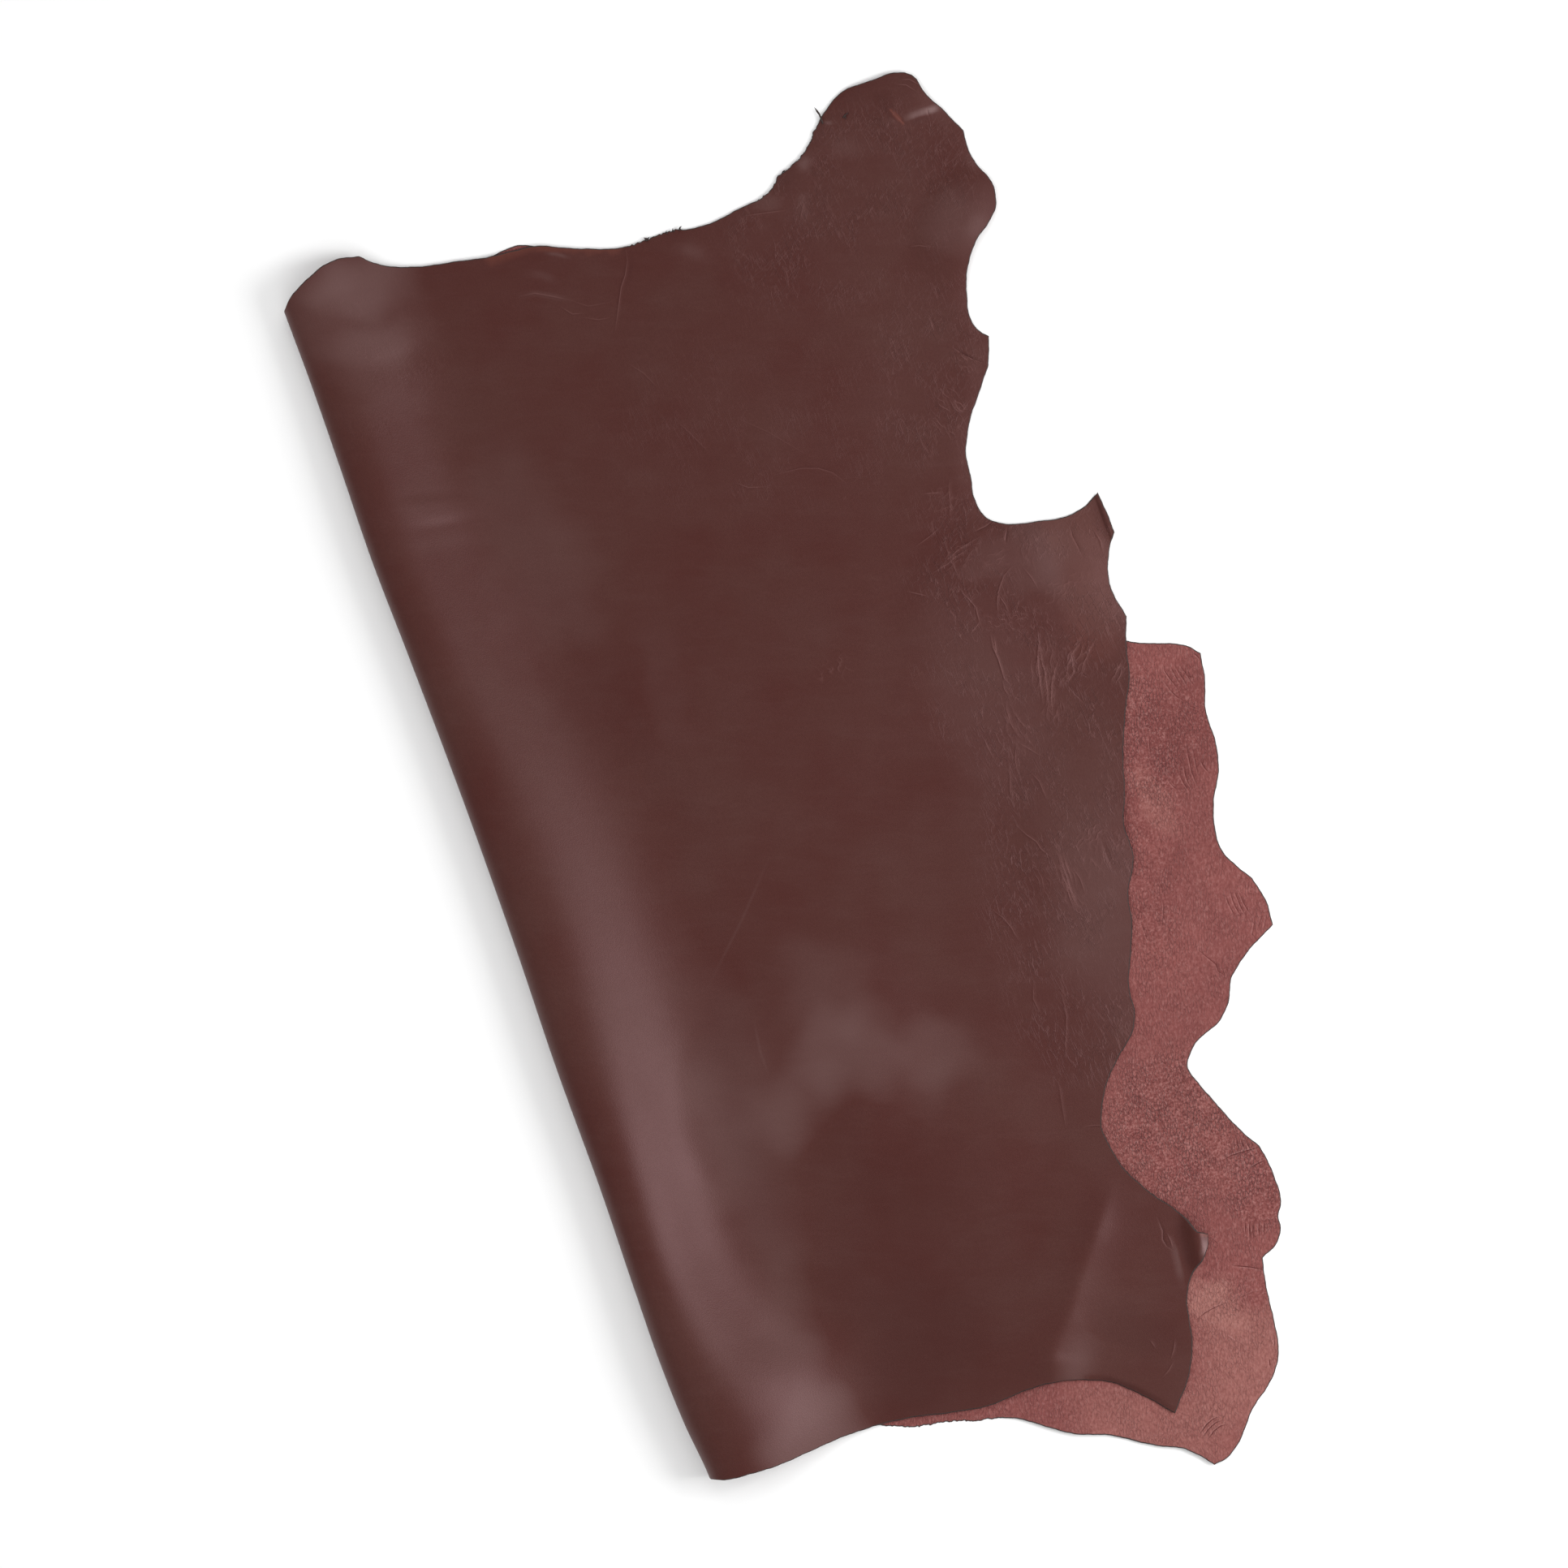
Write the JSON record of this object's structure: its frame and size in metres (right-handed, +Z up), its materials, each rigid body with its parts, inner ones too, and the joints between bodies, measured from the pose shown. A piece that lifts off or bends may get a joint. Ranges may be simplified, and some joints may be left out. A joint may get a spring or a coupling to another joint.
{
  "type": "leather hide",
  "caption": "Whole finished leather hide with an uneven natural outline, folded along its backbone grain side out, with a soft unpressed fold and its flesh side showing at the free edges.",
  "frame": {"origin": "centre of the hide's plan box, on the surface that it lies on", "axes": "+Y along the backbone fold towards the neck end, +X across from the fold towards the free belly edges, +Z up from the surface"},
  "size_m": [0.7398, 1.4116, 0.0517],
  "materials": {
    "hide_leather": "smooth semi-gloss burgundy-brown grain side, matt pinkish red-brown flesh side"
  },
  "bodies": {
    "root": {"hide": "hide_leather"}
  },
  "joints": []
}
